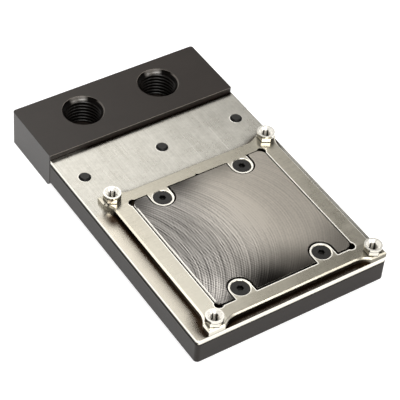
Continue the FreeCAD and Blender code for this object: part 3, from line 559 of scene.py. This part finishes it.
def black_acetal(name, smooth, rough, sheen, thread=False):
    """Milled black plastic: the body's, the terminal's, or that of the threads in the ports."""
    shader = Shader(name)
    lines = shader.noise(shader.stretched(0.08, 5.0, 5.0), 1.0, 3.0, 0.6)
    grain = shader.noise(shader.place, 4.0, 4.0, 0.6)
    cloud = shader.noise(shader.place, 0.12, 3.0)
    share = shader.total(shader.product(cloud, 0.6), shader.product(lines, 0.4))
    colour = shader.blend(share, *ACETAL_TONES)
    height = shader.total(shader.product(lines, 0.6), shader.product(grain, 0.4))
    normal = shader.bump(height, 0.012, 1.0, shader.edge_round(0.2))
    depth = shader.minus(TERMINAL_TOP, shader.z)
    dx, dy = shader.from_port()
    radius = shader.length(dx, dy)
    if thread:
        # Painted shade: below the mouth the turns get darker, and nearly black in their roots.
        sheen = shader.between(depth, 1.6, 1.2, 0.55, sheen)
        colour = shader.blend(shader.between(depth, 1.3, 1.6, 0.0, 0.6), colour, THREAD_SHADE)
        root = shader.product(shader.between(radius, 5.78, 6.2), shader.between(depth, 1.2, 1.6))
        colour = shader.blend(root, colour, THREAD_ROOT_SHADE)
        sheen = shader.product(sheen, shader.mix(root, 1.0, 0.1))
    else:
        # A painted highlight lies along the terminal's top edge towards the plate, and the sheen falls
        # off to the right.
        tilt = shader.parts(shader.edge_round(0.3))
        edge_highlight = shader.product(shader.between(tilt[1], -0.05, -0.3), shader.between(depth, 0.05, 0.02))
        colour = shader.blend(edge_highlight, colour, ACETAL_EDGE_HIGHLIGHT)
        sheen = shader.between(shader.x, -35.0, 10.0, sheen, sheen * 0.78)

    def wall_towards(x, y, low, high):
        """1 where the wall of a port's mouth lies in a direction from its axis."""
        dot = shader.total(shader.product(dx, x), shader.product(dy, y))
        return shader.between(shader.math("DIVIDE", dot, radius), low, high)

    # Painted shade in the ports' mouths, apart from a painted gleam at the back and a thin one on the
    # right.
    thin_gleam = shader.product(wall_towards(0.91, -0.41, 0.70, 0.85), shader.between(radius, 6.6, 6.75))
    lit = shader.highest(wall_towards(0.256, 0.967, 0.87, 0.96), thin_gleam)
    ring = shader.product(shader.between(radius, MOUTH + 0.1, MOUTH - 0.04),
                          shader.between(depth, 0.01, 0.05), shader.between(depth, 1.5, 1.3))
    colour = shader.blend(ring, colour, shader.blend(lit, MOUTH_SHADE, MOUTH_GLEAM))
    unlit = shader.product(ring, shader.minus(1.0, lit))
    sheen = shader.product(sheen, shader.mix(unlit, 1.0, 0.06))
    shader.set(Base_Color=colour, Roughness=shader.spread(grain, smooth, rough), Normal=normal, IOR=1.5,
               Specular_IOR_Level=sheen)
    return shader.material


def black_steel():
    """Blackened screws, with painted shade in their sockets and on their flanks."""
    shader = Shader("black_steel")
    grain = shader.noise(shader.place, 3.0, 4.0, 0.6)
    level = shader.level(shader.facing())
    colour = shader.blend(shader.between(grain, 0.35, 0.7), *STEEL_TONES)
    colour = shader.blend(level, STEEL_SHADE, colour)
    shader.set(Base_Color=colour, Roughness=shader.spread(grain, 0.3, 0.45), IOR=1.6,
               Normal=shader.bump(grain, 0.02, 1.0, shader.edge_round(0.1)),
               Specular_IOR_Level=shader.mix(level, 0.15, 0.45))
    return shader.material


def seal_rubber():
    shader = Shader("seal_rubber")
    grain = shader.noise(shader.place, 2.5, 3.0)
    shader.set(Base_Color=shader.blend(grain, *RUBBER_TONES),
               Roughness=shader.spread(grain, 0.55, 0.7), Normal=shader.bump(grain, 0.01))
    return shader.material


def stainless():
    shader = Shader("stainless_sheet")
    lines = shader.noise(shader.stretched(0.1, 6.0, 1.0), 1.0, 3.0)
    shader.set(Base_Color=shader.blend(lines, *STAINLESS_TONES),
               Roughness=shader.spread(lines, 0.25, 0.35), Normal=shader.bump(lines, 0.006), Metallic=1.0)
    return shader.material


def dress(material, *names):
    for name in names:
        piece = nodes[name]
        piece.data.materials.clear()
        piece.data.materials.append(material)


def new_object(name, mesh, material):
    data = bpy.data.meshes.new(name)
    mesh.to_mesh(data)
    mesh.free()
    data.materials.append(material)
    piece = bpy.data.objects.new(name, data)
    bpy.context.scene.collection.objects.link(piece)
    return piece


# The G1/4 threads, cut as real turns inside the plain bores. Radii, heights and depths in mm.

PITCH = 1.337
CREST = 5.723
ROOT = 6.53
SHELL = 6.565
THREAD_TOP = TERMINAL_TOP - 0.5
THREAD_END = TERMINAL_TOP - 10.6 + 0.03
# Share of the pitch that each crest and each root stays flat.
FLAT = 0.12
# Depth at which the thread starts, and over which it grows to its full height.
LEAD_IN = (1.0, 0.6)
# The oval passage that opens into each bore.
SLOT_FOOT = 4.7
SLOT_TOP = 7.1
SLOT_HALF = 6.0
AROUND = 96
STEPS = 88


def clamp(number):
    return min(max(number, 0.0), 1.0)


def thread_radius(depth, share):
    """Wall radius at a depth under the terminal's top and a share of a turn."""
    phase = (depth / PITCH + share) % 1.0
    rise = clamp((abs(2 * phase - 1) - FLAT) / (1 - 2 * FLAT))
    rise = rise * rise * (3 - 2 * rise)
    start, growth = LEAD_IN
    cut = CREST + (ROOT - CREST) * rise * clamp((depth - start) / growth)
    return min(max(cut, MOUTH - depth), SHELL - 0.01)


def in_slot(x, y, z):
    """True inside the oval passage, which opens on the side of the seam."""
    radius = (SLOT_TOP - SLOT_FOOT) / 2
    middle = (SLOT_TOP + SLOT_FOOT) / 2
    reach = max(abs(x) - (SLOT_HALF - radius), 0.0)
    return y < 0 and reach * reach + (z - middle) ** 2 < radius * radius


def port_thread(name, centre_x, material):
    """A thin sleeve with the thread inside, left open where the passage meets the bore."""
    drop = (THREAD_TOP - THREAD_END) / STEPS
    mesh = bmesh.new()
    inner, outer = [], []
    for step in range(STEPS + 1):
        z = THREAD_TOP - step * drop
        rows = ([], [])
        for turn in range(AROUND):
            share = turn / AROUND
            angle = share * 2 * math.pi
            direction = Vector((math.cos(angle), math.sin(angle), 0))
            for row, radius in zip(rows, (thread_radius(TERMINAL_TOP - z, share), SHELL)):
                row.append(mesh.verts.new((direction * radius + Vector((centre_x, PORT_Y, z))) * MM))
        inner.append(rows[0])
        outer.append(rows[1])

    def open_cell(step, turn):
        if not 0 <= step < STEPS:
            return True
        angle = (turn % AROUND + 0.5) / AROUND * 2 * math.pi
        z = THREAD_TOP - (step + 0.5) * drop
        return in_slot(CREST * math.cos(angle), math.sin(angle), z)

    for step in range(STEPS):
        for turn in range(AROUND):
            if open_cell(step, turn):
                continue
            here, there = turn, (turn + 1) % AROUND
            mesh.faces.new((inner[step][here], inner[step][there],
                            inner[step + 1][there], inner[step + 1][here]))
            mesh.faces.new((outer[step + 1][here], outer[step + 1][there],
                            outer[step][there], outer[step][here]))
            sides = (((step, here), (step, there), open_cell(step - 1, turn)),
                     ((step + 1, there), (step + 1, here), open_cell(step + 1, turn)),
                     ((step + 1, here), (step, here), open_cell(step, turn - 1)),
                     ((step, there), (step + 1, there), open_cell(step, turn + 1)))
            for first, last, is_edge in sides:
                if is_edge:
                    rim = [inner[last[0]][last[1]], inner[first[0]][first[1]],
                           outer[first[0]][first[1]], outer[last[0]][last[1]]]
                    mesh.faces.new([mesh.verts.new(vert.co) for vert in rim])
    loose = [vert for vert in mesh.verts if not vert.link_faces]
    bmesh.ops.delete(mesh, geom=loose, context="VERTS")
    for face in mesh.faces:
        face.smooth = True
    piece = new_object(name, mesh, material)
    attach(piece, "root")


# Studio.

# Sines of the elevations between which the pale walls fade into the dark ceiling, and its strength.
WALL_FADE = (0.10, 0.30)
CEILING = 0.07
SKY_TINT = (1.0, 0.99, 0.96)
# Azimuth, elevation, half width, half height and softness in degrees, and strength, of each bank.
BANKS = (
    (82.5, 46, 20.5, 15, 5.5, 1.69),  # for level metal seen from the photograph's side, more on the left
    (45, 4, 58, 10, 4, 1.0),          # low and wide, behind the block
    (-60, 32, 8, 7, 2, 4.0),          # small, on the right
    (247, 50, 16, 14, 5, 4.5),        # behind the camera, for what faces it
    (137, 30, 42, 15, 8, 0.55),       # these three for level metal seen from the other sides
    (225, 30, 45, 15, 8, 0.5),
    (315, 30, 42, 15, 8, 0.5),
    (53, 88, 17, 17, 8, 1.5),         # overhead
)
FLOOR_TONES = (0.40, 0.40, 0.40, 1), (0.43, 0.43, 0.43, 1)
# What camera rays and glossy rays add to the floor's own light.
FLOOR_SEEN = 0.86
FLOOR_MIRRORED = 0.76
FLOOR_RADIUS = 8.0
FLOOR_DROP = 0.0002


def make_floor():
    shader = Shader("pale_floor")
    shader.tree.nodes.remove(shader.surface)
    grain = shader.noise(shader.place, 0.02, 3.0)
    colour = shader.blend(grain, *FLOOR_TONES)
    path = shader.node("ShaderNodeLightPath").outputs
    seen = shader.highest(shader.product(path["Is Camera Ray"], FLOOR_SEEN),
                          shader.product(path["Is Glossy Ray"], FLOOR_MIRRORED))
    both = shader.node("ShaderNodeAddShader")
    shader.give(both.inputs[0], shader.node("ShaderNodeBsdfDiffuse", Color=colour).outputs[0])
    shader.give(both.inputs[1], shader.node("ShaderNodeEmission", Strength=seen).outputs[0])
    shader.give(shader.output.inputs[0], both.outputs[0])
    mesh = bmesh.new()
    bmesh.ops.create_circle(mesh, cap_ends=True, radius=FLOOR_RADIUS, segments=96)
    floor = new_object("floor", mesh, shader.material)
    floor.location.z = -FLOOR_DROP


def make_sky():
    """Pale walls to the horizon, a dark ceiling, and soft banks of light."""
    world = bpy.data.worlds.new("studio")
    world.use_nodes = True
    bpy.context.scene.world = world
    sky = Nodes(world.node_tree)
    direction = sky.node("ShaderNodeTexCoord").outputs["Generated"]

    def bank(azimuth, elevation, half_wide, half_high, soft, strength):
        """A soft rectangle of light round a direction, in degrees."""
        az, el = math.radians(azimuth), math.radians(elevation)
        aim = Vector((math.cos(el) * math.cos(az), math.cos(el) * math.sin(az), math.sin(el)))
        side = Vector((-math.sin(az), math.cos(az), 0))
        ahead = sky.vector("DOT_PRODUCT", direction, aim)
        light = sky.between(ahead, 0.05, 0.15, smooth=True)
        for axis, half in ((side, half_wide), (aim.cross(side), half_high)):
            off = sky.absolute(sky.math("DIVIDE", sky.vector("DOT_PRODUCT", direction, axis), ahead))
            outer = math.tan(math.radians(half + soft))
            inner = math.tan(math.radians(max(half - soft, 0.5)))
            light = sky.product(light, sky.between(off, outer, inner, smooth=True))
        return sky.product(light, strength)

    rise = sky.parts(direction)[2]
    light = sky.highest(sky.between(rise, WALL_FADE[1], WALL_FADE[0], smooth=True), CEILING)
    for settings in BANKS:
        light = sky.highest(light, bank(*settings))
    red, green, blue = (sky.product(light, tint) for tint in SKY_TINT)
    colour = sky.node("ShaderNodeCombineColor", Red=red, Green=green, Blue=blue).outputs[0]
    background = sky.node("ShaderNodeBackground", Color=colour)
    sky.node("ShaderNodeOutputWorld", Surface=background.outputs[0])


# Place in metres, width in metres and power in watts of the lamp overhead.
LAMP_PLACE = Vector((0.1, 0.2, 1.3))
LAMP_WIDTH = 1.2
LAMP_POWER = 9.5


def make_lamp():
    """A wide lamp overhead gives plain soft light without showing in the gloss."""
    data = bpy.data.lights.new("overhead", "AREA")
    data.shape = "DISK"
    data.size = LAMP_WIDTH
    data.energy = LAMP_POWER
    lamp = bpy.data.objects.new("overhead", data)
    lamp.location = LAMP_PLACE
    lamp.rotation_euler = (-LAMP_PLACE).to_track_quat("-Z", "Y").to_euler()
    lamp.visible_glossy = False
    bpy.context.scene.collection.objects.link(lamp)


make_camera()
dress(black_acetal("black_acetal_body", 0.32, 0.42, 0.23), "acetal_body")
dress(black_acetal("black_acetal_terminal", 0.30, 0.40, 0.47), "terminal_block")
dress(cold_plate_nickel(), "cold_plate")
dress(frame_nickel(), "mounting_frame")
dress(polished_nickel(), "standoff_front_left", "standoff_front_right",
      "standoff_back_left", "standoff_back_right")
dress(black_steel(), "frame_screws", "body_screws_long", "body_screws_short", "terminal_screws")
dress(seal_rubber(), "main_seal", "inlet_seal", "outlet_seal")
dress(stainless(), "jet_plate")
thread_acetal = black_acetal("black_acetal_thread", 0.22, 0.28, 1.0, thread=True)
port_thread("inlet_thread", -PORT_X, thread_acetal)
port_thread("outlet_thread", PORT_X, thread_acetal)
make_floor()
make_sky()
make_lamp()

bpy.context.scene.view_settings.view_transform = "Standard"
